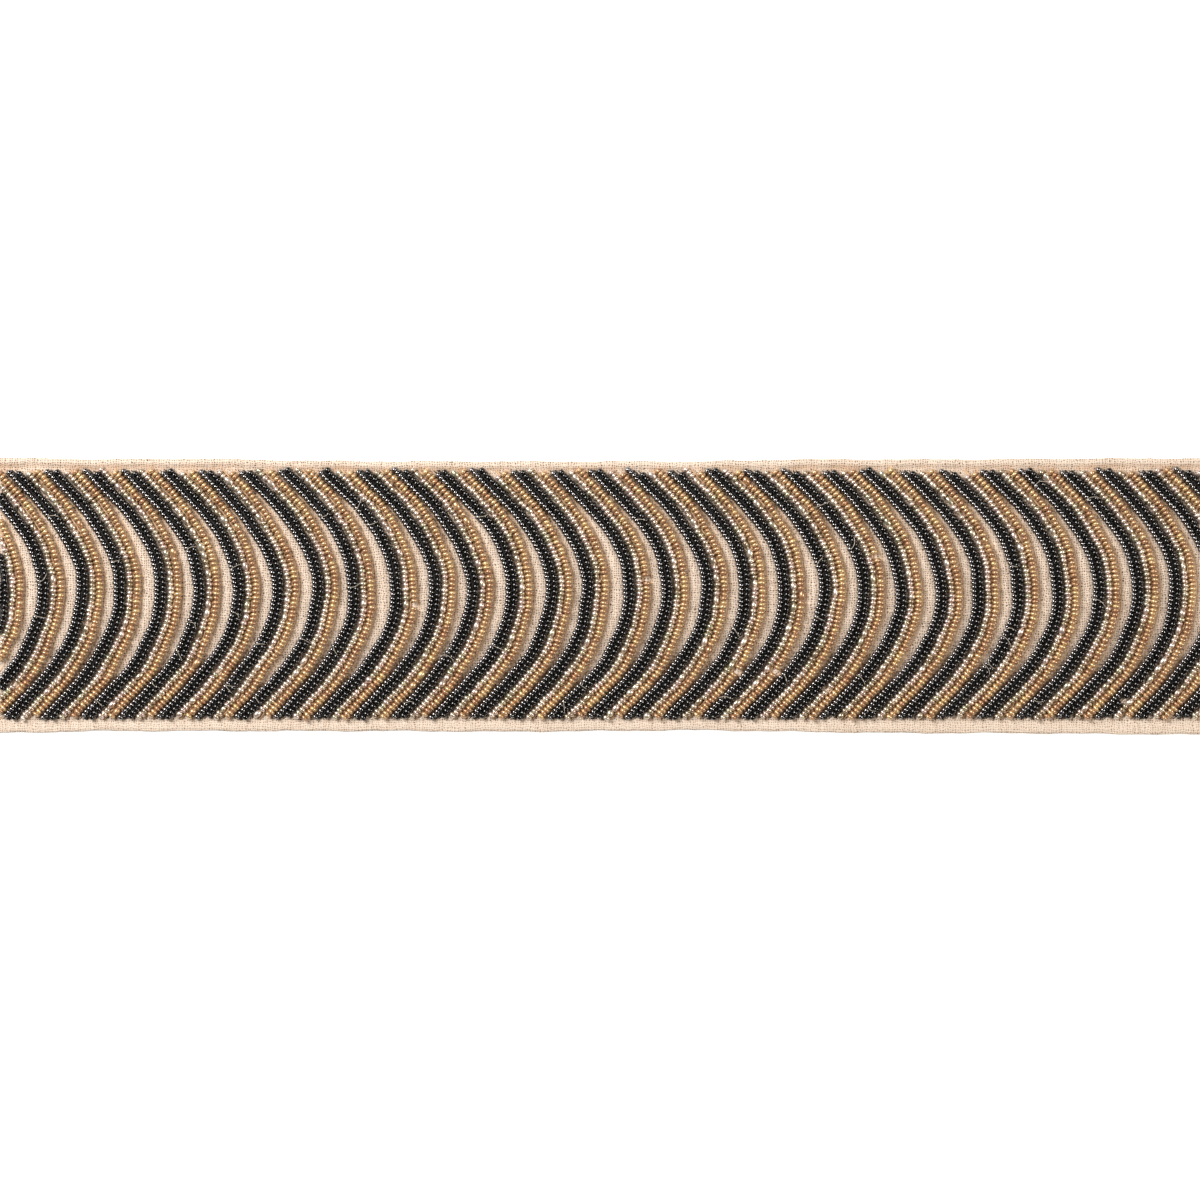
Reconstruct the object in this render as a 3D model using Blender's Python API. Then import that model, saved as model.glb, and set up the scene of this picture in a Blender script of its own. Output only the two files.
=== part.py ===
"""Beaded tape trim: a cut length of woven cotton tape lying flat, its long edges turned under,
with nested arcs of seed beads sewn side by side across its face.

Metres, +Z up. X runs along the tape and Y across it. The origin is the middle of the flat
underside. The tape is one solid. Each repeat of four bead strands is one ridged band that
follows its arc. At the right-hand cut end the last two arcs keep only their arms.
"""

import bmesh
import bpy

MM = 0.001
WELD_DISTANCE = 0.001 * MM

# The tape
TAPE_THICKNESS = 1.0 * MM
EDGE_RADIUS = 0.4 * MM
EDGE_STEPS = 2
TAPE_EDGES = [  # along the tape, with the places of its far and near folded edges there
    {"along": -141.9 * MM, "far": 32.2 * MM, "near": -31.8 * MM},
    {"along": -116.8 * MM, "far": 31.8 * MM, "near": -31.3 * MM},
    {"along": -93.4 * MM, "far": 32.0 * MM, "near": -31.3 * MM},
    {"along": -70.1 * MM, "far": 31.5 * MM, "near": -31.3 * MM},
    {"along": -46.7 * MM, "far": 31.3 * MM, "near": -31.3 * MM},
    {"along": -23.4 * MM, "far": 31.3 * MM, "near": -31.5 * MM},
    {"along": 0.0 * MM, "far": 31.3 * MM, "near": -31.3 * MM},
    {"along": 23.4 * MM, "far": 31.3 * MM, "near": -31.1 * MM},
    {"along": 46.7 * MM, "far": 31.8 * MM, "near": -31.5 * MM},
    {"along": 70.1 * MM, "far": 31.8 * MM, "near": -31.8 * MM},
    {"along": 93.4 * MM, "far": 31.8 * MM, "near": -31.8 * MM},
    {"along": 116.8 * MM, "far": 32.0 * MM, "near": -32.0 * MM},
    {"along": 141.9 * MM, "far": 32.0 * MM, "near": -32.2 * MM},
]

# The beaded field, which leaves a bare margin of cloth along both edges
FIELD_FAR = 29.3 * MM
FIELD_NEAR = -28.7 * MM
FIELD_TOP = 8.0 * MM  # well above the beads
END_MARGIN = 0.5 * MM
SEAT_GAP = 0.3 * MM

# The arcs
REPEAT = 9.12 * MM
FIRST_CROWN = -138.1 * MM
CROWN_ACROSS = 1.2 * MM
ARC_RADIUS = 22.9 * MM
WHOLE_ARCS = 31
CURVE_STEPS = 10
ARM_STEPS = 3
SPLIT_ARCS = [  # arcs whose crown lies past the cut end, and how far from it their arms begin
    {"number": 32, "arm_start": 8.5 * MM},
    {"number": 33, "arm_start": 21.6 * MM},
]
OVERRUN = 3.0 * MM

# The four strands of one repeat, from the hollow side of the arc to its crown side
STRANDS = [
    {"bead": "gunmetal", "centre": -2.48 * MM, "diameter": 1.55 * MM},
    {"bead": "jet", "centre": -0.75 * MM, "diameter": 1.65 * MM},
    {"bead": "crystal", "centre": 0.82 * MM, "diameter": 1.55 * MM},
    {"bead": "gold", "centre": 2.36 * MM, "diameter": 1.60 * MM},
]
BAND_HALF_WIDTH = 3.05 * MM
RIDGE_FLAT = 0.3 * MM
VALLEY_HEIGHT = 0.85 * MM

CLOTH_FINISH = {"colour": (0.76, 0.60, 0.43), "roughness": 0.9, "metallic": 0.0}
BEAD_FINISH = {"colour": (0.13, 0.085, 0.05), "roughness": 0.3, "metallic": 0.5}


def clear_scene():
    """Removes every object that is there, so that the trim stands alone."""
    for leftover in list(bpy.data.objects):
        bpy.data.objects.remove(leftover, do_unlink=True)


def collection(name):
    """A new collection under the scene's own."""
    made = bpy.data.collections.new(name)
    bpy.context.scene.collection.children.link(made)
    return made


def finish(name, colour, roughness, metallic):
    """A plain material of the piece's colour and gloss."""
    material = bpy.data.materials.new(name)
    material.use_nodes = True
    shader = material.node_tree.nodes["Principled BSDF"]
    shader.inputs["Base Color"].default_value = (*colour, 1.0)
    shader.inputs["Roughness"].default_value = roughness
    shader.inputs["Metallic"].default_value = metallic
    return material


def poly_curve(name, points, closed):
    """A flat curve object through the points, each given as its two places in the plane."""
    data = bpy.data.curves.new(name, "CURVE")
    data.dimensions = "2D"
    spline = data.splines.new("POLY")
    spline.points.add(len(points) - 1)
    for point, (x, y) in zip(spline.points, points):
        point.co = (x, y, 0.0, 1.0)
    spline.use_cyclic_u = closed
    return bpy.data.objects.new(name, data)


def as_mesh(curve_object):
    """A mesh object in the place of a curve object, with the curve's caps welded on."""
    evaluated = curve_object.evaluated_get(bpy.context.evaluated_depsgraph_get())
    data = bpy.data.meshes.new_from_object(evaluated)
    data.transform(evaluated.matrix_world)
    welded = bmesh.new()
    welded.from_mesh(data)
    bmesh.ops.remove_doubles(welded, verts=welded.verts, dist=WELD_DISTANCE)
    bmesh.ops.recalc_face_normals(welded, faces=welded.faces)
    welded.to_mesh(data)
    welded.free()
    name = curve_object.name
    bpy.data.objects.remove(curve_object, do_unlink=True)
    return bpy.data.objects.new(name, data)


def as_guide(guide, guides):
    """Keeps an object out of the trim itself, because it only shapes or cuts a piece."""
    guide.hide_render = True
    guide.display_type = "WIRE"
    guides.objects.link(guide)
    return guide


def add_tape(parts):
    """The cloth: the uneven outline made a sheet, its edges rounded as a turned edge is."""
    far = [(row["along"], row["far"]) for row in TAPE_EDGES]
    near = [(row["along"], row["near"]) for row in reversed(TAPE_EDGES)]
    tape = poly_curve("ground_tape", far + near, closed=True)
    tape.data.fill_mode = "BOTH"
    tape.data.extrude = TAPE_THICKNESS / 2 - EDGE_RADIUS
    tape.data.bevel_depth = EDGE_RADIUS
    tape.data.bevel_resolution = EDGE_STEPS
    tape.data.offset = -EDGE_RADIUS
    tape.location.z = TAPE_THICKNESS / 2
    tape.data.materials.append(finish("cotton_tape", **CLOTH_FINISH))
    parts.objects.link(tape)


def drop(rise):
    """How far an arc falls back from its crown at this distance across the tape: a parabola
    that runs straight on at 45 degrees once it has turned that far."""
    reach = abs(rise)
    if reach < ARC_RADIUS:
        return reach**2 / (2 * ARC_RADIUS)
    return reach - ARC_RADIUS / 2


def arc_path(crown, rises):
    """The points of an arc's middle line at these distances from its crown."""
    return [(crown - drop(rise), CROWN_ACROSS + rise) for rise in rises]


def evenly(start, end, steps):
    """Steps of equal size from start to end, both included."""
    return [start + (end - start) * step / steps for step in range(steps + 1)]


def whole_arc():
    """Distances from the crown along a whole arc, from its near arm round to its far arm."""
    curved = evenly(-ARC_RADIUS, ARC_RADIUS, CURVE_STEPS)
    return [FIELD_NEAR - CROWN_ACROSS - OVERRUN, *curved, FIELD_FAR - CROWN_ACROSS + OVERRUN]


def far_arm(start):
    """Distances from the crown along the arm on the far side."""
    return [*evenly(start, ARC_RADIUS, ARM_STEPS), FIELD_FAR - CROWN_ACROSS + OVERRUN]


def near_arm(start):
    """Distances from the crown along the arm on the near side."""
    return [FIELD_NEAR - CROWN_ACROSS - OVERRUN, *evenly(-ARC_RADIUS, -start, ARM_STEPS)]


def band_section():
    """The outline of four strands side by side: a flat foot and a flat-topped ridge for each
    strand, with a valley half way to the next one."""
    outline = [(-BAND_HALF_WIDTH, 0.0)]
    for strand, following in zip(STRANDS, STRANDS[1:] + [None]):
        ridge = strand["diameter"] - SEAT_GAP
        outline.append((strand["centre"] - RIDGE_FLAT, ridge))
        outline.append((strand["centre"] + RIDGE_FLAT, ridge))
        if following:
            outline.append(((strand["centre"] + following["centre"]) / 2, VALLEY_HEIGHT))
    outline.append((BAND_HALF_WIDTH, 0.0))
    return outline


def field_box():
    """The box that holds the beaded field. What of a band is outside it is trimmed off."""
    left = TAPE_EDGES[0]["along"] + END_MARGIN
    right = TAPE_EDGES[-1]["along"] - END_MARGIN
    box = bmesh.new()
    bmesh.ops.create_cube(box, size=1.0)
    size = (right - left, FIELD_FAR - FIELD_NEAR, FIELD_TOP)
    bmesh.ops.scale(box, vec=size, verts=box.verts)
    middle = ((left + right) / 2, (FIELD_FAR + FIELD_NEAR) / 2, FIELD_TOP / 2)
    bmesh.ops.translate(box, vec=middle, verts=box.verts)
    data = bpy.data.meshes.new("bead_field")
    box.to_mesh(data)
    box.free()
    return bpy.data.objects.new("bead_field", data)


def add_bands(parts, guides):
    """Every repeat in turn along the tape, and the arms of the arcs that the cut end splits."""
    section = as_guide(poly_curve("band_section", band_section(), closed=True), guides)
    field = as_guide(field_box(), guides)
    beads = finish("bead_strands", **BEAD_FINISH)

    def add_band(name, number, rises):
        """One repeat: the section carried along its arc and trimmed to the field."""
        crown = FIRST_CROWN + REPEAT * (number - 1)
        path = poly_curve(name, arc_path(crown, rises), closed=False)
        path.data.bevel_mode = "OBJECT"
        path.data.bevel_object = section
        path.data.use_fill_caps = True
        path.location.z = TAPE_THICKNESS + SEAT_GAP
        parts.objects.link(path)
        band = as_mesh(path)
        band.data.materials.append(beads)
        trim = band.modifiers.new("trim_to_field", "BOOLEAN")
        trim.operation = "INTERSECT"
        trim.solver = "EXACT"
        trim.object = field
        parts.objects.link(band)

    for number in range(1, WHOLE_ARCS + 1):
        add_band(f"bead_band_{number:02d}", number, whole_arc())
    for row in SPLIT_ARCS:
        number, start = row["number"], row["arm_start"]
        add_band(f"bead_band_{number}_far", number, far_arm(start))
        add_band(f"bead_band_{number}_near", number, near_arm(start))


def build():
    clear_scene()
    parts = collection("beaded_tape_trim")
    guides = collection("guides_and_cutters")
    add_tape(parts)
    add_bands(parts, guides)


build()
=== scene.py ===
import bpy
import numpy as np
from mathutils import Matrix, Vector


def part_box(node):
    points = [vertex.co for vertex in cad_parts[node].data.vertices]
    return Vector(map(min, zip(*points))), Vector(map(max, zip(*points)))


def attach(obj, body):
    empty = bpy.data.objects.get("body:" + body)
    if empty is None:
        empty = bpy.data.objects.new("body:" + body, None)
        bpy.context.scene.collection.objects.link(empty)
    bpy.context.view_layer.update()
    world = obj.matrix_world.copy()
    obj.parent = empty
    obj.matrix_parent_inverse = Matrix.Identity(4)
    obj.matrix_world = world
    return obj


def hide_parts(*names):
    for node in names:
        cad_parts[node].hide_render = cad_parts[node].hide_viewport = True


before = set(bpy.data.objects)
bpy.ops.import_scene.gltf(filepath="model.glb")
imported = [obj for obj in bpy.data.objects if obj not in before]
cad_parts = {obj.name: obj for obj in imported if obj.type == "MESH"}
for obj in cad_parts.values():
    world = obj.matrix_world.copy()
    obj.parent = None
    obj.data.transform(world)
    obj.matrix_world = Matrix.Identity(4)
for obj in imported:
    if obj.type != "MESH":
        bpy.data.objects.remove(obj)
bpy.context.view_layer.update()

# The ground cloth: one strip of natural cream cotton in a plain weave. Both long edges are turned
# under and pressed flat, so that the tape is two layers thick at its margins and one between
# them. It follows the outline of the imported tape.
MM = 0.001
CLOTH_THICKNESS = 0.30 * MM
TURN_UNDER = 9.0 * MM
MIDDLE_HEIGHT = 0.74 * MM
# The far margin's groove beside the beads is painted darker as shade, the near one's not.
MARGINS = {
    "far": {"edge": 0.80 * MM, "crest": 1.05 * MM, "crest_in": 0.8 * MM, "groove": 0.58 * MM, "darkening": 1.0,
            "open": 0.65},
    "near": {"edge": 0.62 * MM, "crest": 0.74 * MM, "crest_in": 0.8 * MM, "groove": 0.70 * MM, "darkening": 0.0,
             "open": 0.3},
}
GROOVE_IN = 2.1 * MM
FIELD_IN = 3.4 * MM
# The beaded field is painted a little darker all over.
FIELD_DARKENING = 0.05
EDGE_WAVES = ((23.0 * MM, 0.10 * MM), (9.0 * MM, 0.06 * MM), (4.1 * MM, 0.03 * MM))
CLOTH_WAVES = ((31.0 * MM, 17.0 * MM), (12.0 * MM, 23.0 * MM), (7.0 * MM, 9.0 * MM))
CLOTH_WAVE_HEIGHT = 0.035 * MM
WARP_PITCH = 0.59 * MM
WEFT_PITCH = 0.56 * MM
STEP_ALONG = 1.5 * MM
FOLD_STEPS = 8
TOP_STEPS = 60
FLAP_STEPS = 4

tape_low, tape_high = (np.array(corner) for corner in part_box("ground_tape"))
TAPE_TOP = tape_high[2]


def outline_of(node):
    """The far and near edges of a flat node: its outermost points, sorted along X."""
    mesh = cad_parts[node].data
    points = np.empty(len(mesh.vertices) * 3, np.float32)
    mesh.vertices.foreach_get("co", points)
    points = points.reshape(-1, 3).astype(float)
    level = points[np.abs(points[:, 2] - TAPE_TOP / 2) < TAPE_TOP / 4]
    edges = []
    for side in (1.0, -1.0):
        rim = level[level[:, 1] * side > tape_high[1] / 2]
        rim = rim[np.argsort(rim[:, 0])]
        edges.append((rim[:, 0], rim[:, 1]))
    return edges


FAR_RIM, NEAR_RIM = outline_of("ground_tape")


def edge_at(rim, along, turn):
    """The edge's place across the tape: straight between the outline's points, and small waves
    of three lengths added. turn shifts the waves, so that the two edges differ."""
    place = np.interp(along, *rim)
    for length, height in EDGE_WAVES:
        place = place + height * np.sin(2 * np.pi * along / length + turn)
    return place


def smooth_step(start, end, value):
    """Runs from 0 to 1 between start and end, flat at both: 3t^2 - 2t^3."""
    share = np.clip((value - start) / (end - start), 0.0, 1.0)
    return share * share * (3.0 - 2.0 * share)


def margin_height(margin, inside):
    """The height of the cloth's upper face this far inside a folded edge. From the fold it
    rises as a quarter sine to the crest of a soft roll, falls to a groove beside the beads, and
    rises again to the level of the beaded field."""
    start = (margin["edge"] - CLOTH_THICKNESS) / 2
    rise = np.sin(np.pi / 2 * np.clip((inside - start) / (margin["crest_in"] - start), 0, 1))
    height = margin["edge"] + (margin["crest"] - margin["edge"]) * rise
    height = height - (margin["crest"] - margin["groove"]) * smooth_step(margin["crest_in"], GROOVE_IN, inside)
    return height + (MIDDLE_HEIGHT - margin["groove"]) * smooth_step(GROOVE_IN, FIELD_IN, inside)


def cloth_top(along, across):
    """The height of the cloth's upper face: the margins' shapes, with soft waves added."""
    far_inside = edge_at(FAR_RIM, along, 0.0) - across
    near_inside = across - edge_at(NEAR_RIM, along, 2.0)
    height = np.where(
        far_inside < near_inside,
        margin_height(MARGINS["far"], far_inside),
        margin_height(MARGINS["near"], near_inside),
    )
    for number, (length, width) in enumerate(CLOTH_WAVES):
        wave = np.sin(2 * np.pi * along / length + number) * np.cos(2 * np.pi * across / width)
        height = height + CLOTH_WAVE_HEIGHT * wave
    return height


def cloth_darkening(along, across):
    """How much darker and browner the cloth is painted, from 0 to 1: a little over the beaded field,
    and most in the far groove beside the beads, where it is painted shade on the slope that faces
    away from the lamps."""
    far_inside = edge_at(FAR_RIM, along, 0.0) - across
    near_inside = across - edge_at(NEAR_RIM, along, 2.0)
    darkening = FIELD_DARKENING * smooth_step(GROOVE_IN, FIELD_IN, np.minimum(far_inside, near_inside))
    for margin, inside in ((MARGINS["far"], far_inside), (MARGINS["near"], near_inside)):
        band = smooth_step(0.4 * GROOVE_IN, 0.8 * GROOVE_IN, inside) * smooth_step(FIELD_IN, GROOVE_IN, inside)
        darkening = darkening + margin["darkening"] * band
    return darkening


def cloth_openness(along, across):
    """How open the weave is, from 0 to 1: full in the beaded field, and less at both margins,
    where the cloth is pressed together."""
    far_inside = edge_at(FAR_RIM, along, 0.0) - across
    near_inside = across - edge_at(NEAR_RIM, along, 2.0)
    openness = np.where(far_inside < near_inside, MARGINS["far"]["open"], MARGINS["near"]["open"])
    return openness + (1 - openness) * smooth_step(GROOVE_IN, FIELD_IN, np.minimum(far_inside, near_inside))


def cloth_path(along):
    """The cloth's middle surface, as (across, height, length along the path), one column for
    each step: in under the near side, round its fold, over the top, and back under the far
    side. A fold is a half circle, and the top is cloth_top less half the cloth."""
    far = edge_at(FAR_RIM, along, 0.0)[:, None]
    near = edge_at(NEAR_RIM, along, 2.0)[:, None]
    low = CLOTH_THICKNESS / 2
    turn = np.linspace(-np.pi / 2, np.pi / 2, FOLD_STEPS + 1)[None, :]
    folds = {}
    for side, edge, inwards in (("near", near, 1), ("far", far, -1)):
        radius = (MARGINS[side]["edge"] - CLOTH_THICKNESS) / 2
        flap = np.linspace(TURN_UNDER, radius, FLAP_STEPS, endpoint=False)[None, :]
        fold_across = np.hstack([edge + inwards * flap, edge + inwards * radius * (1 - np.cos(turn))])
        fold_height = np.hstack([low + 0 * flap, low + radius * (1 + np.sin(turn))]) + 0 * edge
        folds[side] = (fold_across, fold_height, radius)
    turned = np.linspace(0, np.pi, TOP_STEPS + 1)[1:-1][None, :]
    share = 0.7 * (1 - np.cos(turned)) / 2 + 0.3 * (turned / np.pi - np.sin(2 * turned) / (2 * np.pi))
    start, end = near + folds["near"][2], far - folds["far"][2]
    top_across = start + share * (end - start)
    top_height = cloth_top(along[:, None], top_across) - low
    across = np.hstack([folds["near"][0], top_across, folds["far"][0][:, ::-1]])
    height = np.hstack([folds["near"][1], top_height, folds["far"][1][:, ::-1]])
    steps = np.hypot(np.diff(across, axis=1), np.diff(height, axis=1))
    travelled = np.hstack([np.zeros((len(along), 1)), np.cumsum(steps, axis=1)])
    return across, height, travelled - travelled[:, -1:] / 2


def grid_mesh(name, points, uv=None):
    """A piece on a two-parameter grid: each cell of the grid of points is one four-sided face.
    uv gives each grid point its place on the cloth."""
    rows, columns = points.shape[:2]
    index = np.arange(rows * columns).reshape(rows, columns)
    quads = np.stack([index[:-1, :-1], index[1:, :-1], index[1:, 1:], index[:-1, 1:]], axis=-1)
    mesh = bpy.data.meshes.new(name)
    mesh.vertices.add(rows * columns)
    mesh.vertices.foreach_set("co", points.astype(np.float32).ravel())
    fill_faces(mesh, quads.reshape(-1), np.full(quads[..., 0].size, 4))
    if uv is not None:
        layer = mesh.uv_layers.new(name="weave")
        layer.uv.foreach_set("vector", uv.reshape(-1, 2)[quads.reshape(-1)].astype(np.float32).ravel())
    return as_piece(name, mesh)


def fill_faces(mesh, corners, sizes):
    """Gives a mesh its faces: corners holds every face's points one after another, and sizes
    says how many each face has."""
    mesh.loops.add(len(corners))
    mesh.loops.foreach_set("vertex_index", corners.astype(np.int32))
    mesh.polygons.add(len(sizes))
    starts = np.concatenate([[0], np.cumsum(sizes)[:-1]])
    mesh.polygons.foreach_set("loop_start", starts.astype(np.int32))
    mesh.update(calc_edges=True)
    mesh.validate()
    mesh.shade_smooth()


def as_piece(name, mesh):
    """An object at the origin that rides on the tape."""
    piece = bpy.data.objects.new(name, mesh)
    bpy.context.scene.collection.objects.link(piece)
    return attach(piece, "root")


def node_in(tree, kind, **settings):
    """A new shader node with its settings."""
    made = tree.nodes.new(kind)
    for key, value in settings.items():
        setattr(made, key, value)
    return made


def feed(tree, socket, value):
    """Links a socket to an input, or sets the input to a plain value."""
    if isinstance(value, bpy.types.NodeSocket):
        tree.links.new(value, socket)
    else:
        socket.default_value = value


def reckon(tree, operation, *values):
    """The output of a Math node on these values or sockets."""
    made = node_in(tree, "ShaderNodeMath", operation=operation)
    for socket, value in zip(made.inputs, values):
        feed(tree, socket, value)
    return made.outputs[0]


def blended(tree, share, first, second):
    """The mix of two colours, where share 0 is the first."""
    made = node_in(tree, "ShaderNodeMix", data_type="RGBA")
    feed(tree, made.inputs["Factor"], share)
    feed(tree, made.inputs["A"], first)
    feed(tree, made.inputs["B"], second)
    return made.outputs["Result"]


def new_group(name, inputs, outputs):
    """An empty shader node group with named sockets, and its two end nodes."""
    group = bpy.data.node_groups.new(name, "ShaderNodeTree")
    for in_out, sockets in (("INPUT", inputs), ("OUTPUT", outputs)):
        for label, kind in sockets.items():
            group.interface.new_socket(label, in_out=in_out, socket_type=f"NodeSocket{kind}")
    return group, group.nodes.new("NodeGroupInput"), group.nodes.new("NodeGroupOutput")


def new_material(name, **values):
    """A material, its node tree and its Principled shader with plain values on its sockets."""
    material = bpy.data.materials.new(name)
    material.use_nodes = True
    shader = material.node_tree.nodes["Principled BSDF"]
    for label, value in values.items():
        shader.inputs[label.replace("_", " ").title().replace("Ior", "IOR")].default_value = value
    return material, material.node_tree, shader


def plain_weave_group():
    """Threads of a plain weave on thread-count coordinates. Each thread is a sine hump, and the
    other set's sine lifts or sinks it, so that it goes over one crossing and under the next.
    Height is the higher of the two sets. Hole is 1 at the small openings where four threads
    meet, wider in some ribs than in others. Rib differs from thread to thread, and Fibre is
    fine noise."""
    group, start, end = new_group(
        "plain weave",
        {"Place": "Vector", "Unevenness": "Float", "Openness": "Float"},
        {"Height": "Float", "Hole": "Float", "Rib": "Float", "Fibre": "Float"},
    )
    wander = node_in(group, "ShaderNodeTexNoise", noise_dimensions="2D")
    wander.inputs["Scale"].default_value = 0.35
    wander.inputs["Detail"].default_value = 3.0
    group.links.new(start.outputs["Place"], wander.inputs["Vector"])
    parts = node_in(group, "ShaderNodeSeparateXYZ")
    group.links.new(start.outputs["Place"], parts.inputs[0])
    shift = node_in(group, "ShaderNodeSeparateColor")
    group.links.new(wander.outputs["Color"], shift.inputs[0])
    sines = []
    for axis, channel in (("X", "Red"), ("Y", "Green")):
        off = reckon(group, "SUBTRACT", shift.outputs[channel], 0.5)
        off = reckon(group, "MULTIPLY", off, start.outputs["Unevenness"])
        turned = reckon(group, "MULTIPLY", reckon(group, "ADD", parts.outputs[axis], off), np.pi)
        sines.append(reckon(group, "SINE", turned))
    heights = []
    for own, other, side in ((sines[0], sines[1], 0.5), (sines[1], sines[0], -0.5)):
        over = reckon(group, "MULTIPLY", reckon(group, "SIGN", own), other)
        lift = reckon(group, "MULTIPLY_ADD", over, side, 0.5)
        hump = reckon(group, "POWER", reckon(group, "ABSOLUTE", own), 0.6)
        heights.append(reckon(group, "MULTIPLY", hump, lift))
    group.links.new(reckon(group, "MAXIMUM", *heights), end.inputs["Height"])
    edges = [reckon(group, "ABSOLUTE", sine) for sine in sines]
    hole = reckon(group, "MULTIPLY_ADD", reckon(group, "MAXIMUM", *edges), -1 / 0.75, 1.0)
    ribs = []
    for stretch in ((0.9, 0.05, 1.0), (0.05, 0.9, 1.0)):
        drawn = node_in(group, "ShaderNodeVectorMath", operation="MULTIPLY")
        group.links.new(start.outputs["Place"], drawn.inputs[0])
        drawn.inputs[1].default_value = stretch
        rib = node_in(group, "ShaderNodeTexNoise", noise_dimensions="2D")
        rib.inputs["Scale"].default_value = 1.0
        rib.inputs["Detail"].default_value = 1.0
        group.links.new(drawn.outputs[0], rib.inputs["Vector"])
        ribs.append(rib.outputs["Fac"])
    rib = reckon(group, "MULTIPLY_ADD", ribs[0], 0.65, reckon(group, "MULTIPLY", ribs[1], 0.35))
    group.links.new(rib, end.inputs["Rib"])
    patch = node_in(group, "ShaderNodeTexNoise", noise_dimensions="2D")
    patch.inputs["Scale"].default_value = 0.9
    group.links.new(start.outputs["Place"], patch.inputs["Vector"])
    open_here = reckon(group, "ADD", patch.outputs["Fac"], rib)
    open_here = reckon(group, "MULTIPLY_ADD", open_here, 9.0, -6.5)
    open_here = reckon(group, "MULTIPLY", open_here, start.outputs["Openness"])
    hole = reckon(group, "MULTIPLY", reckon(group, "MAXIMUM", hole, 0.0), reckon(group, "MAXIMUM", open_here, 0.0))
    group.links.new(hole, end.inputs["Hole"])
    hair = node_in(group, "ShaderNodeTexNoise", noise_dimensions="2D")
    hair.inputs["Scale"].default_value = 3.0
    hair.inputs["Detail"].default_value = 4.0
    group.links.new(start.outputs["Place"], hair.inputs["Vector"])
    group.links.new(hair.outputs["Fac"], end.inputs["Fibre"])
    return group


def cotton_material():
    """Natural cream cotton, slightly uneven in colour and quite matt. It is painted with shade:
    darker and browner between the crowns of the threads, nearly black in the holes between them,
    and browner in the far groove."""
    material, tree, shader = new_material("natural cotton", roughness=0.85)
    shader.inputs["Sheen Weight"].default_value = 0.25
    shader.inputs["Sheen Roughness"].default_value = 0.5
    shader.inputs["Specular IOR Level"].default_value = 0.25
    place = node_in(tree, "ShaderNodeUVMap", uv_map="weave")
    weave = node_in(tree, "ShaderNodeGroup", node_tree=plain_weave_group())
    tree.links.new(place.outputs["UV"], weave.inputs["Place"])
    weave.inputs["Unevenness"].default_value = 2.0
    openness = node_in(tree, "ShaderNodeAttribute", attribute_name="openness")
    tree.links.new(openness.outputs["Fac"], weave.inputs["Openness"])
    cloud = node_in(tree, "ShaderNodeTexNoise", noise_dimensions="2D")
    cloud.inputs["Scale"].default_value = 0.05
    cloud.inputs["Detail"].default_value = 5.0
    tree.links.new(place.outputs["UV"], cloud.inputs["Vector"])
    thread = blended(tree, cloud.outputs["Fac"], (0.92, 0.79, 0.67, 1), (0.84, 0.70, 0.58, 1))
    # Some threads are browner than others, and the cloth's darkening, mottled by the cloud, adds painted shade in
    # the far groove; together they turn the thread towards brown.
    rib_tone_and_shade = reckon(tree, "MULTIPLY_ADD", weave.outputs["Rib"], 4.0, -1.7)
    rib_tone_and_shade = reckon(tree, "MULTIPLY", reckon(tree, "MAXIMUM", rib_tone_and_shade, 0.0), 0.35)
    darkening = node_in(tree, "ShaderNodeAttribute", attribute_name="darkening")
    blotch = reckon(tree, "MULTIPLY_ADD", cloud.outputs["Fac"], 2.2, -0.5)
    rib_tone_and_shade = reckon(tree, "MULTIPLY_ADD", darkening.outputs["Fac"], reckon(tree, "MAXIMUM", blotch, 0.0), rib_tone_and_shade)
    rib_tone_and_shade = reckon(tree, "MINIMUM", rib_tone_and_shade, 0.9)
    thread = blended(tree, rib_tone_and_shade, thread, (0.66, 0.46, 0.32, 1))
    thread = blended(tree, reckon(tree, "MULTIPLY", weave.outputs["Fibre"], 0.40), thread, (0.60, 0.42, 0.28, 1))
    # Painted shade: the cloth is painted dark brown between the crowns of the threads and nearly black in their
    # holes, where shade falls.
    crown = reckon(tree, "SMOOTH_MIN", reckon(tree, "MULTIPLY", weave.outputs["Height"], 1.7), 1.0, 0.2)
    colour = blended(tree, crown, (0.36, 0.23, 0.14, 1), thread)
    hole = reckon(tree, "MINIMUM", weave.outputs["Hole"], 1.0)
    tree.links.new(blended(tree, hole, colour, (0.12, 0.065, 0.035, 1)), shader.inputs["Base Color"])
    bump = node_in(tree, "ShaderNodeBump")
    bump.inputs["Strength"].default_value = 0.8
    bump.inputs["Distance"].default_value = 0.12 * MM
    level = reckon(tree, "MULTIPLY_ADD", weave.outputs["Fibre"], 0.25, weave.outputs["Height"])
    tree.links.new(level, bump.inputs["Height"])
    tree.links.new(bump.outputs[0], shader.inputs["Normal"])
    return material


stations = np.linspace(tape_low[0], tape_high[0], int((tape_high[0] - tape_low[0]) / STEP_ALONG) + 1)
cloth_across, cloth_height, cloth_travel = cloth_path(stations)
station_grid = stations[:, None] + 0 * cloth_across
cloth = grid_mesh(
    "ground_cloth",
    np.stack([station_grid, cloth_across, cloth_height], axis=-1),
    uv=np.stack([station_grid / WARP_PITCH, cloth_travel / WEFT_PITCH], axis=-1),
)
# The painted darkening, shade in the far groove, and the weave's openness are kept on the cloth's points.
for label, shares in (
    ("darkening", cloth_darkening(station_grid, cloth_across)),
    ("openness", cloth_openness(station_grid, cloth_across)),
):
    values = cloth.data.attributes.new(label, "FLOAT", "POINT")
    values.data.foreach_set("value", shares.astype(np.float32).ravel())
layer = cloth.modifiers.new("cloth_thickness", "SOLIDIFY")
layer.thickness = CLOTH_THICKNESS
layer.offset = 0.0
layer.use_even_offset = True
cotton = cotton_material()
cloth.data.materials.append(cotton)
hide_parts("ground_tape")


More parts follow.
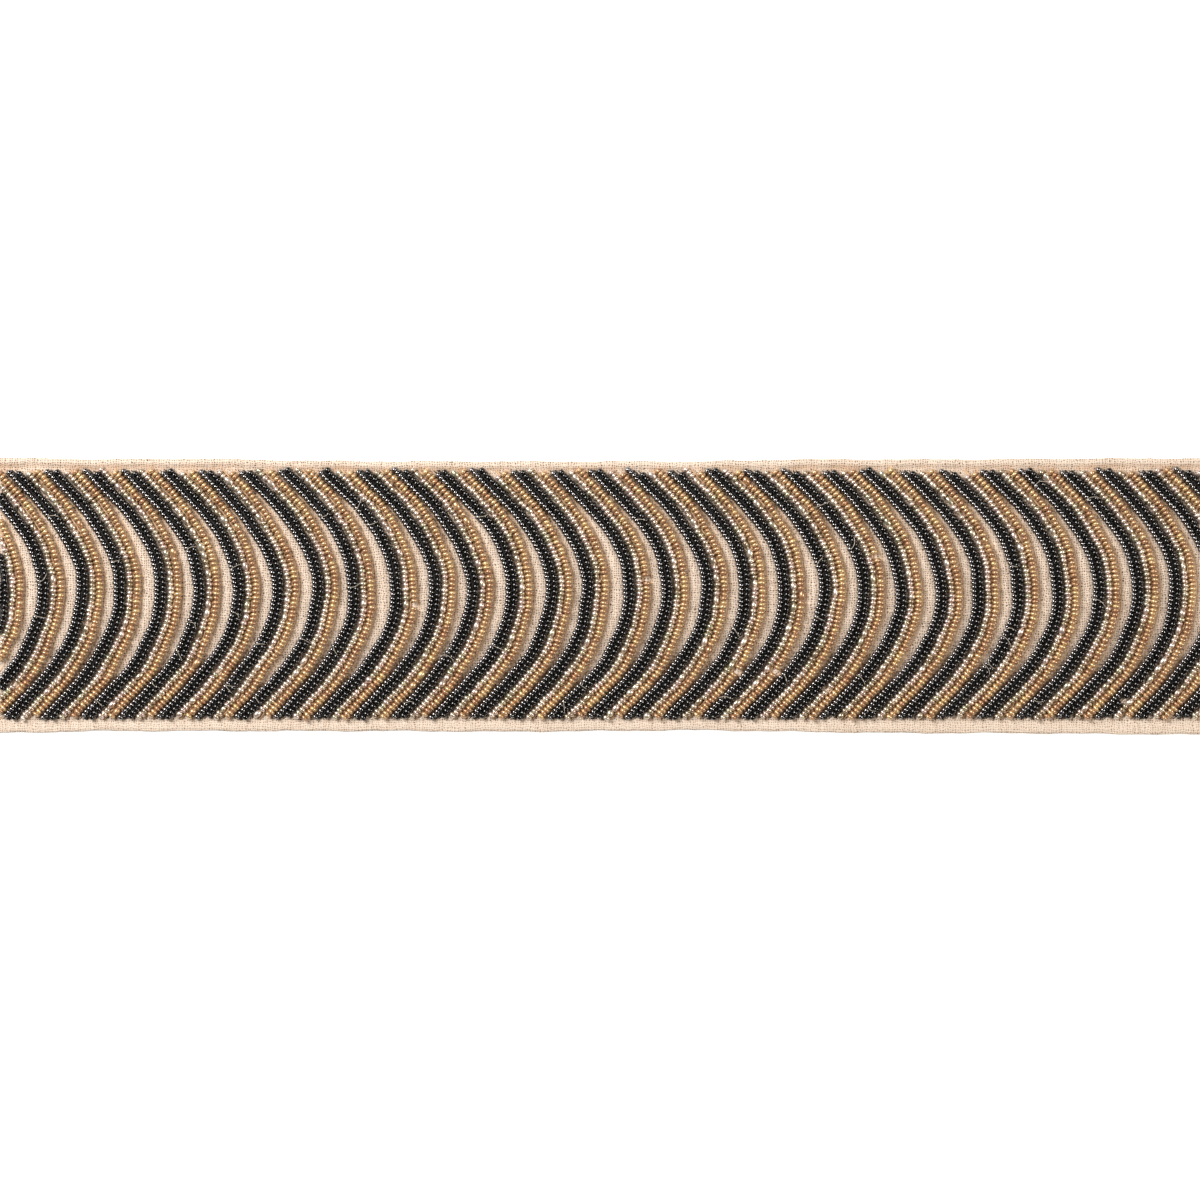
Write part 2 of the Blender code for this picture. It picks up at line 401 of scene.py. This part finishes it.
# The lines that the strands are sewn along: nested arcs drawn out by hand, so that each wanders
# a little from the drawn shape. Where the arms crowd together, the strands push each other
# aside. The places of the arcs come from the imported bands.
ARC_RADIUS = 22.9 * MM
CROWN_ACROSS = 1.2 * MM
BAND_HALF_WIDTH = 3.05 * MM
SAMPLE_BAND, NEXT_BAND, SAMPLE_NUMBER = "bead_band_05", "bead_band_06", 5
ARC_COUNT = 33
LINE_STEPS = 150
LINE_OVERRUN = 2.0 * MM
CROWN_SPREAD = 0.25 * MM
END_SPREAD = 0.6 * MM
END_SHIFTS = {-1: 1.0 * MM, 1: 0.1 * MM}
ARC_WAVES = ((27.0 * MM, 0.16 * MM), (15.0 * MM, 0.13 * MM), (8.5 * MM, 0.07 * MM))
STRAND_WAVES = ((11.0 * MM, 0.09 * MM), (5.3 * MM, 0.06 * MM))
STRANDS = (
    {"bead": "gunmetal", "centre": -2.26 * MM, "radius": 0.77 * MM},
    {"bead": "jet", "centre": -0.66 * MM, "radius": 0.82 * MM},
    {"bead": "crystal", "centre": 1.00 * MM, "radius": 0.86 * MM},
    {"bead": "gold", "centre": 2.67 * MM, "radius": 0.97 * MM},
)
SPACING = 0.96
PUSH_ROUNDS = 80

chance = np.random.default_rng(31)
sample_low, sample_high = (np.array(corner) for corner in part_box(SAMPLE_BAND))
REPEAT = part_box(NEXT_BAND)[1].x - sample_high[0]
FIELD_NEAR, FIELD_FAR = sample_low[1], sample_high[1]
crowns = sample_high[0] - BAND_HALF_WIDTH + REPEAT * (np.arange(ARC_COUNT) - SAMPLE_NUMBER + 1)
ACROSS = np.linspace(FIELD_NEAR - LINE_OVERRUN, FIELD_FAR + LINE_OVERRUN, LINE_STEPS)
LEAN = np.sqrt(1 + np.clip((ACROSS - CROWN_ACROSS) / ARC_RADIUS, -1, 1) ** 2)


def settled(values):
    """Random values about 0, each drawn towards its neighbours, which keeps arcs side by side."""
    padded = np.pad(values, 1, mode="edge")
    drawn = (padded[:-2] + 2 * padded[1:-1] + padded[2:]) / 4 * 1.6
    return drawn - drawn.mean()


def strand_lines():
    """Every strand's line, as its places along X for the places across the tape, strands in
    order along the tape. A line is a parabola from its crown that runs on at 45 degrees, plus
    its strand's offset, widened by the slope, plus waves. Lines closer than their beads allow
    are pushed apart in equal shares, and then smoothed."""
    rise = ACROSS - CROWN_ACROSS
    fall = np.where(np.abs(rise) < ARC_RADIUS, rise**2 / (2 * ARC_RADIUS), np.abs(rise) - ARC_RADIUS / 2)
    line = crowns[:, None] - fall
    line = line + CROWN_SPREAD * chance.standard_normal((ARC_COUNT, 1))
    for side in (-1, 1):
        reach = np.clip(side * rise / (FIELD_FAR - CROWN_ACROSS), 0, 1.2) ** 2
        drift = END_SPREAD * settled(chance.standard_normal(ARC_COUNT)) + END_SHIFTS[side]
        line = line + drift[:, None] * reach
    for length, height in ARC_WAVES:
        turn = chance.uniform(0, 2 * np.pi, (ARC_COUNT, 1))
        line = line + height * np.sin(2 * np.pi * ACROSS / length + turn)
    offsets = np.array([strand["centre"] for strand in STRANDS])
    lines = line[:, None, :] + offsets[None, :, None] * LEAN
    for length, height in STRAND_WAVES:
        turn = chance.uniform(0, 2 * np.pi, lines.shape[:2] + (1,))
        lines = lines + height * np.sin(2 * np.pi * ACROSS / length + turn)
    lines = lines.reshape(-1, LINE_STEPS)
    radii = np.tile([strand["radius"] for strand in STRANDS], ARC_COUNT)
    apart = SPACING * (radii[1:] + radii[:-1])[:, None] * LEAN
    for _ in range(PUSH_ROUNDS):
        push = np.minimum(np.diff(lines, axis=0) - apart, 0) / 2
        lines[:-1] += push
        lines[1:] -= push
        lines[:, 1:-1] = lines[:, 1:-1] * 0.8 + (lines[:, :-2] + lines[:, 2:]) * 0.1
    return lines


LINES = strand_lines()


# The seed beads: short glass tubes with well rounded ends, strung and couched down so closely
# that they touch. Each is a little larger, smaller or more tilted than the next. The gunmetal
# ones are coated dark glass, the jet ones plain black, the crystal ones clear with a pale
# lining, some of them long, and the gold ones coated from yellow gold to copper.
BEAD_SIDES = 10
BEAD_RINGS = 5
BEAD_ROUNDING = {"gunmetal": 0.50, "jet": 0.50, "crystal": 0.68, "gold": 0.80}
BEAD_TURN = np.radians(78)
BEAD_GAP = 0.96
CUT_MARGIN = 0.4 * MM
END_SPILL = {"far": (-0.55 * MM, 0.35 * MM), "near": (-0.10 * MM, 0.75 * MM)}
PITCHES = {"gunmetal": 0.97 * MM, "jet": 1.18 * MM, "crystal": 1.0 * MM, "gold": 1.01 * MM}
LONG_BEADS = {"gunmetal": 0.0, "jet": 0.0, "crystal": 0.10, "gold": 0.01}
MISSING_BEADS = {"gunmetal": 0.0005, "jet": 0.0005, "crystal": 0.003, "gold": 0.002}
SEAT = 0.15 * MM
SIZE_SPREAD = {"gunmetal": 0.035, "jet": 0.035, "crystal": 0.07, "gold": 0.05}
SIDE_SPREAD = {"gunmetal": 0.04 * MM, "jet": 0.04 * MM, "crystal": 0.08 * MM, "gold": 0.06 * MM}
TILT_SPREAD = {"gunmetal": 0.07, "jet": 0.07, "crystal": 0.12, "gold": 0.10}


def strung(bead, line, radius):
    """Beads along one line: the places where each sits, its direction, half length and radius.
    The bead lengths are drawn first, and their running sum gives each bead's middle."""
    length_along = np.concatenate([[0], np.cumsum(np.hypot(np.diff(line), np.diff(ACROSS)))])
    first = np.interp(FIELD_NEAR + chance.uniform(*END_SPILL["near"]), ACROSS, length_along)
    last = np.interp(FIELD_FAR - chance.uniform(*END_SPILL["far"]), ACROSS, length_along)
    count = int((last - first) / PITCHES[bead] * 1.2)
    lengths = PITCHES[bead] * (1 + SIZE_SPREAD[bead] * chance.standard_normal(count))
    long_ones = chance.random(count) < LONG_BEADS[bead]
    lengths = np.where(long_ones, lengths * chance.uniform(1.6, 2.4, count), lengths)
    ends = first + np.cumsum(lengths)
    kept = (ends < last + 0.3 * PITCHES[bead]) & (chance.random(count) >= MISSING_BEADS[bead])
    middle = ends - lengths / 2
    x = np.interp(middle, length_along, line)
    y = np.interp(middle, length_along, ACROSS)
    ahead = 0.5 * MM
    turn = np.arctan2(
        np.interp(middle + ahead, length_along, ACROSS) - np.interp(middle - ahead, length_along, ACROSS),
        np.interp(middle + ahead, length_along, line) - np.interp(middle - ahead, length_along, line),
    )
    size = radius * (1 + SIZE_SPREAD[bead] * chance.standard_normal(count))
    size = np.where(long_ones, size * 0.88, size)
    side = SIDE_SPREAD[bead] * chance.standard_normal(count)
    x = x - side * np.sin(turn)
    y = y + side * np.cos(turn)
    kept &= (x > tape_low[0] + radius + CUT_MARGIN) & (x < tape_high[0] - radius - CUT_MARGIN)
    z = cloth_top(x, y) + size - SEAT
    rows = np.stack([x, y, z, turn, lengths / 2, size, middle], axis=-1)
    return rows[kept]


def bead_mesh(name, beads, bead):
    """Many beads as one mesh. A bead is a ring profile turned about its string: the profile is
    an arc, so that radius = 1 - rounding (1 - cos a) and place along = sin a / sin(last a). It
    is scaled, tilted and set down at each bead's place, and its ends are closed flat."""
    arc = np.linspace(-BEAD_TURN, BEAD_TURN, BEAD_RINGS)
    along = np.sin(arc) / np.sin(BEAD_TURN)
    out = 1 - BEAD_ROUNDING[bead] * (1 - np.cos(arc))
    count = len(beads)
    turn = beads[:, 3] + TILT_SPREAD[bead] * chance.standard_normal(count)
    tilt = TILT_SPREAD[bead] * chance.standard_normal(count)
    string = np.stack([np.cos(turn) * np.cos(tilt), np.sin(turn) * np.cos(tilt), np.sin(tilt)], axis=-1)
    beside = np.stack([-np.sin(turn), np.cos(turn), 0 * turn], axis=-1)
    above = np.cross(string, beside)
    angle = np.linspace(0, 2 * np.pi, BEAD_SIDES, endpoint=False) + chance.uniform(0, np.pi, (count, 1))
    round_it = (
        np.cos(angle)[:, None, :, None] * beside[:, None, None, :]
        + np.sin(angle)[:, None, :, None] * above[:, None, None, :]
    ) * (beads[:, 5, None, None, None] * out[None, :, None, None])
    length_part = string[:, None, None, :] * (beads[:, 4, None, None, None] * BEAD_GAP * along[None, :, None, None])
    points = beads[:, None, None, :3] + length_part + round_it
    ring = np.arange(BEAD_RINGS * BEAD_SIDES).reshape(BEAD_RINGS, BEAD_SIDES)
    following = np.roll(ring, -1, axis=1)
    quads = np.stack([ring[:-1], following[:-1], following[1:], ring[1:]], axis=-1).reshape(-1)
    corners = np.concatenate([quads, ring[0][::-1], ring[-1]])
    sizes = np.concatenate([np.full(quads.size // 4, 4), [BEAD_SIDES, BEAD_SIDES]])
    mesh = bpy.data.meshes.new(name)
    mesh.vertices.add(count * ring.size)
    mesh.vertices.foreach_set("co", points.astype(np.float32).ravel())
    fill_faces(mesh, (corners[None, :] + ring.size * np.arange(count)[:, None]).ravel(), np.tile(sizes, count))
    for label in ("bead_tone", "bead_gloss"):
        values = mesh.attributes.new(label, "FLOAT", "POINT")
        values.data.foreach_set("value", np.repeat(chance.random(count), ring.size).astype(np.float32))
    return as_piece(name, mesh)


def bead_gloss_group():
    """How the gloss differs from bead to bead, and over each bead where the coating is thin."""
    group, start, end = new_group("bead gloss", {"Least": "Float", "Most": "Float"}, {"Roughness": "Float"})
    tone = node_in(group, "ShaderNodeAttribute", attribute_name="bead_gloss")
    cloud = node_in(group, "ShaderNodeTexNoise")
    place = node_in(group, "ShaderNodeTexCoord")
    group.links.new(place.outputs["Object"], cloud.inputs["Vector"])
    cloud.inputs["Scale"].default_value = 1400.0
    mixed = reckon(group, "MULTIPLY_ADD", cloud.outputs["Fac"], 0.4, reckon(group, "MULTIPLY", tone.outputs["Fac"], 0.6))
    span = reckon(group, "SUBTRACT", start.outputs["Most"], start.outputs["Least"])
    group.links.new(reckon(group, "MULTIPLY_ADD", mixed, span, start.outputs["Least"]), end.inputs["Roughness"])
    return group


bead_gloss = bead_gloss_group()
BEAD_LOOKS = {
    "gunmetal": {
        "metallic": 1.0, "gloss": (0.28, 0.34), "ior": 1.6, "coat_ior": 2.6,
        "colours": ((0.0, (0.05, 0.045, 0.045)), (0.6, (0.08, 0.072, 0.073)), (1.0, (0.13, 0.115, 0.125))),
    },
    "jet": {
        "metallic": 0.0, "gloss": (0.28, 0.34), "ior": 1.2, "coat_ior": 1.7,
        "colours": ((0.0, (0.0025, 0.002, 0.0018)), (1.0, (0.007, 0.006, 0.005))),
    },
    "crystal": {
        "metallic": 0.7, "gloss": (0.28, 0.38), "ior": 1.6, "coat_ior": 1.95,
        "colours": (
            (0.0, (0.38, 0.29, 0.18)), (0.3, (0.68, 0.55, 0.42)), (0.55, (0.72, 0.55, 0.48)),
            (0.75, (0.92, 0.79, 0.66)), (1.0, (0.55, 0.50, 0.33)),
        ),
    },
    "gold": {
        "metallic": 0.6, "gloss": (0.34, 0.44), "ior": 1.5, "coat_ior": 1.65,
        "colours": (
            (0.0, (0.50, 0.26, 0.13)), (0.35, (0.62, 0.375, 0.19)), (0.7, (0.68, 0.435, 0.225)),
            (1.0, (0.78, 0.55, 0.265)),
        ),
    },
}


def bead_material(bead):
    """Coated glass: a colour for each bead from the strand's own range, and its own gloss."""
    look = BEAD_LOOKS[bead]
    material, tree, shader = new_material(f"{bead} glass", metallic=look["metallic"])
    shader.inputs["Coat Weight"].default_value = 1.0
    shader.inputs["Coat Roughness"].default_value = 0.06
    shader.inputs["Coat IOR"].default_value = look["coat_ior"]
    shader.inputs["IOR"].default_value = look["ior"]
    tone = node_in(tree, "ShaderNodeAttribute", attribute_name="bead_tone")
    ramp = node_in(tree, "ShaderNodeValToRGB")
    stops = ramp.color_ramp.elements
    while len(stops) < len(look["colours"]):
        stops.new(0.5)
    for stop, (place, colour) in zip(stops, look["colours"]):
        stop.position = place
        stop.color = (*colour, 1)
    tree.links.new(tone.outputs["Fac"], ramp.inputs[0])
    tree.links.new(ramp.outputs["Color"], shader.inputs["Base Color"])
    gloss = node_in(tree, "ShaderNodeGroup", node_tree=bead_gloss)
    gloss.inputs["Least"].default_value, gloss.inputs["Most"].default_value = look["gloss"]
    tree.links.new(gloss.outputs["Roughness"], shader.inputs["Roughness"])
    return material


HALVES = {"left": slice(0, 17), "right": slice(17, ARC_COUNT)}
band_names = sorted(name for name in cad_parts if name.startswith("bead_band"))
for order, strand in enumerate(STRANDS):
    material = bead_material(strand["bead"])
    for half, arcs in HALVES.items():
        lines = LINES.reshape(ARC_COUNT, len(STRANDS), LINE_STEPS)[arcs, order]
        beads = np.concatenate([strung(strand["bead"], line, strand["radius"]) for line in lines])
        piece = bead_mesh(f"{strand['bead']}_beads_{half}", beads, strand["bead"])
        piece.data.materials.append(material)
        numbers = range(arcs.start + 1, arcs.stop + 1)
        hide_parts(*[name for name in band_names if int(name.split("_")[2]) in numbers])


# The thread: black in the dark strands and cream in the others. It runs through the beads of
# every strand and lies in long stitches on the back of the cloth. Two more threads are painted
# shade: a black one laid on the cloth between the two dark strands, and a tan one on both sides
# of each gold strand, painted as the amber shade of the gold beads. Here and there a pale loop
# has slipped out over the dark ones.
THREAD_RADIUS = 0.11 * MM
THREAD_SIDES = 4
CORE_HEIGHT = 0.68 * MM
CORE_STEPS = 20
BACK_STEPS = 17
# Painted shade threads: the tan one beside the gold strands and the black one between the dark strands.
SHADE_THREAD_RADIUS = 0.28 * MM
AMBER_SHADE_HEIGHT = -0.13 * MM
AMBER_SHADE_REACH = 1.14 * MM
GAP_HEIGHT = 0.16 * MM
DARK_GAP_HEIGHT = 0.42 * MM
LOOP_RADIUS = 0.045 * MM
LOOP_COUNT = 50
LOOP_STEPS = 14


def thread_mesh(name, paths, radius):
    """Thread along many paths as one mesh: a small ring is carried along each path, square to
    it, and both ends are closed. paths holds each path's points."""
    count, steps = paths.shape[:2]
    ahead = np.gradient(paths, axis=1)
    beside = np.stack([-ahead[..., 1], ahead[..., 0], 0 * ahead[..., 0]], axis=-1)
    beside = beside / np.linalg.norm(beside, axis=-1, keepdims=True)
    above = np.cross(ahead / np.linalg.norm(ahead, axis=-1, keepdims=True), beside)
    angle = np.linspace(0, 2 * np.pi, THREAD_SIDES, endpoint=False)[None, None, :, None]
    ring_part = np.cos(angle) * beside[:, :, None] + np.sin(angle) * above[:, :, None]
    points = paths[:, :, None] + radius * ring_part
    ring = np.arange(steps * THREAD_SIDES).reshape(steps, THREAD_SIDES)
    following = np.roll(ring, -1, axis=1)
    quads = np.stack([ring[:-1], following[:-1], following[1:], ring[1:]], axis=-1).reshape(-1)
    corners = np.concatenate([quads, ring[0][::-1], ring[-1]])
    mesh = bpy.data.meshes.new(name)
    mesh.vertices.add(count * ring.size)
    mesh.vertices.foreach_set("co", points.astype(np.float32).ravel())
    fill_faces(
        mesh, (corners[None, :] + ring.size * np.arange(count)[:, None]).ravel(),
        np.full(count * (corners.size // 4), 4),
    )
    return as_piece(name, mesh)


def arm_runs(lines, low, high, steps, height):
    """Even steps along both arms of each line between low and high across the tape, as far
    as they are on it, at this height above the cloth."""
    runs = []
    for line in lines:
        for start, end in ((low, CROWN_ACROSS), (CROWN_ACROSS, high)):
            across = np.linspace(start, end, 60)
            along = np.interp(across, ACROSS, line)
            on_tape = across[(along > tape_low[0] + MM) & (along < tape_high[0] - MM)]
            if len(on_tape) > 2:
                run = np.linspace(on_tape[0], on_tape[-1], steps)
                place = np.interp(run, ACROSS, line)
                runs.append(np.stack([place, run, cloth_top(place, run) + height], axis=-1))
    return np.array(runs)


def loose_loops():
    """Loops over the dark strands: each is a bow in plan, straight across the two strands or
    slanting, that lies on the beads and dips between the strands at both ends."""
    arcs = chance.integers(0, ARC_COUNT - 1, LOOP_COUNT)
    across = chance.uniform(FIELD_NEAR + 2 * MM, FIELD_FAR - 2 * MM, LOOP_COUNT)
    pairs = LINES.reshape(ARC_COUNT, len(STRANDS), LINE_STEPS)[:, :2].mean(axis=1)
    along = np.array([np.interp(place, ACROSS, pairs[arc]) for place, arc in zip(across, arcs)])
    kept = (along > tape_low[0] + 3 * MM) & (along < tape_high[0] - 3 * MM)
    along, across = along[kept, None], across[kept, None]
    slope = np.clip((across - CROWN_ACROSS) / ARC_RADIUS, -1, 1)
    lie = np.arctan(slope) + chance.uniform(-0.8, 0.8, along.shape)
    reach = chance.uniform(1.1 * MM, 2.0 * MM, along.shape)
    bow = chance.uniform(-0.9 * MM, 0.9 * MM, along.shape)
    step = np.linspace(-1, 1, LOOP_STEPS)[None, :]
    bend = bow * (1 - step**2)
    x = along + reach * step * np.cos(lie) - bend * np.sin(lie)
    y = across + reach * step * np.sin(lie) + bend * np.cos(lie)
    z = cloth_top(x, y) + 1.58 * MM - 0.7 * MM * step**4
    return np.stack([x, y, z], axis=-1)


def thread_material(name, first, second):
    """Cotton thread, a little uneven in colour along its length."""
    material, tree, shader = new_material(name, roughness=0.8)
    place = node_in(tree, "ShaderNodeTexCoord")
    cloud = node_in(tree, "ShaderNodeTexNoise")
    cloud.inputs["Scale"].default_value = 900.0
    tree.links.new(place.outputs["Object"], cloud.inputs["Vector"])
    tree.links.new(blended(tree, cloud.outputs["Fac"], (*first, 1), (*second, 1)), shader.inputs["Base Color"])
    return material


cream_cotton = thread_material("cream thread", (0.74, 0.62, 0.48), (0.88, 0.78, 0.64))
black_cotton = thread_material("black thread", (0.012, 0.011, 0.010), (0.03, 0.027, 0.025))
# The tan thread's colour is painted amber shade of the gold beads.
amber_shade_cotton = thread_material("amber shade thread", (0.58, 0.36, 0.20), (0.74, 0.51, 0.31))
strand_of_line = np.arange(len(LINES)) % len(STRANDS)
# The black thread between the two dark strands is painted shade in the gap there.
dark_gaps = (LINES[strand_of_line == 0] + LINES[strand_of_line == 1]) / 2
# Where the tan thread lies as painted amber shade: beside each gold strand, and in the gap between gold and
# crystal.
amber_shade_sides = LINES[strand_of_line == 3] + AMBER_SHADE_REACH * LEAN
gold_gaps = (LINES[strand_of_line == 3] + LINES[strand_of_line == 2]) / 2
amber_shade_paths = np.concatenate([
    arm_runs(amber_shade_sides, FIELD_NEAR, FIELD_FAR, CORE_STEPS, AMBER_SHADE_HEIGHT),
    arm_runs(gold_gaps, FIELD_NEAR, FIELD_FAR, CORE_STEPS, GAP_HEIGHT),
])
flap_reach = TURN_UNDER + 0.8 * MM
back_low, back_high = NEAR_RIM[1].max() + flap_reach, FAR_RIM[1].min() - flap_reach
for name, paths, radius, cotton_used in (
    ("black_thread", arm_runs(LINES[strand_of_line < 2], FIELD_NEAR, FIELD_FAR, CORE_STEPS, CORE_HEIGHT),
     THREAD_RADIUS, black_cotton),
    ("cream_thread", arm_runs(LINES[strand_of_line > 1], FIELD_NEAR, FIELD_FAR, CORE_STEPS, CORE_HEIGHT),
     THREAD_RADIUS, cream_cotton),
    # the tan thread, painted amber shade of the gold beads
    ("amber_shade_thread", amber_shade_paths, SHADE_THREAD_RADIUS, amber_shade_cotton),
    # the black thread laid as painted shade between the two dark strands
    ("dark_gap_shade_thread", arm_runs(dark_gaps, FIELD_NEAR, FIELD_FAR, CORE_STEPS, DARK_GAP_HEIGHT),
     SHADE_THREAD_RADIUS, black_cotton),
    ("back_stitches", arm_runs(LINES, back_low, back_high, BACK_STEPS, -CLOTH_THICKNESS),
     THREAD_RADIUS, cream_cotton),
    ("loose_loops", loose_loops(), LOOP_RADIUS, cream_cotton),
):
    piece = thread_mesh(name, paths, radius)
    piece.data.materials.append(cotton_used)
    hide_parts(*band_names)


# The studio: a white table top lit a little from below, one large soft lamp from the far left
# and a weaker one from the right, a little warm light from all round, and a long lens straight
# above the tape.
WHITE_FLOOR = 2.0
LAMP_DISTANCE = 1.1
LAMPS = (
    {"name": "key lamp", "turn": np.radians(143), "tilt": np.radians(45), "size": 0.50, "power": 15.9,
     "colour": (1, 1, 1)},
    {"name": "second lamp", "turn": np.radians(-2), "tilt": np.radians(43), "size": 0.42, "power": 6.5,
     "colour": (1, 0.95, 0.88)},
)
ROOM_LIGHT = 0.03
ROOM_COLOUR = (1, 0.82, 0.64, 1)
WALL_BRIGHTNESS = 0.85
FLOOR_GLOW = 0.3
CAMERA_HEIGHT = 1.5
CAMERA_PLACE = (-0.38 * MM, -0.93 * MM)
VIEW_WIDTH = 280.2 * MM
SENSOR = 36.0

bpy.ops.mesh.primitive_plane_add(size=WHITE_FLOOR, location=(0, 0, 0))
floor = bpy.context.object
floor.name = "table_top"
paper, _, paper_shader = new_material("white table", roughness=0.8)
paper_shader.inputs["Base Color"].default_value = (0.93, 0.93, 0.93, 1)
paper_shader.inputs["Emission Color"].default_value = (1, 1, 1, 1)
paper_shader.inputs["Emission Strength"].default_value = FLOOR_GLOW
floor.data.materials.append(paper)

for lamp in LAMPS:
    data = bpy.data.lights.new(lamp["name"], "AREA")
    data.shape = "SQUARE"
    data.size = lamp["size"]
    data.energy = lamp["power"]
    data.color = lamp["colour"]
    holder = bpy.data.objects.new(lamp["name"], data)
    bpy.context.scene.collection.objects.link(holder)
    level = LAMP_DISTANCE * np.sin(lamp["tilt"])
    holder.location = (
        level * np.cos(lamp["turn"]), level * np.sin(lamp["turn"]), LAMP_DISTANCE * np.cos(lamp["tilt"]),
    )
    holder.rotation_euler = (0, lamp["tilt"], lamp["turn"])

world = bpy.data.worlds.new("studio")
bpy.context.scene.world = world
world.use_nodes = True
sky = world.node_tree
seen = node_in(sky, "ShaderNodeLightPath").outputs["Is Camera Ray"]
level = reckon(sky, "MULTIPLY_ADD", seen, WALL_BRIGHTNESS - ROOM_LIGHT, ROOM_LIGHT)
sky.links.new(level, sky.nodes["Background"].inputs["Strength"])
sky.links.new(blended(sky, seen, ROOM_COLOUR, (1, 1, 1, 1)), sky.nodes["Background"].inputs["Color"])

camera_data = bpy.data.cameras.new("camera")
camera_data.sensor_width = SENSOR
camera_data.lens = SENSOR * CAMERA_HEIGHT / VIEW_WIDTH
camera = bpy.data.objects.new("camera", camera_data)
camera.location = (*CAMERA_PLACE, CAMERA_HEIGHT)
bpy.context.scene.collection.objects.link(camera)
bpy.context.scene.camera = camera
bpy.context.scene.view_settings.view_transform = "Standard"

bpy.context.view_layer.update()
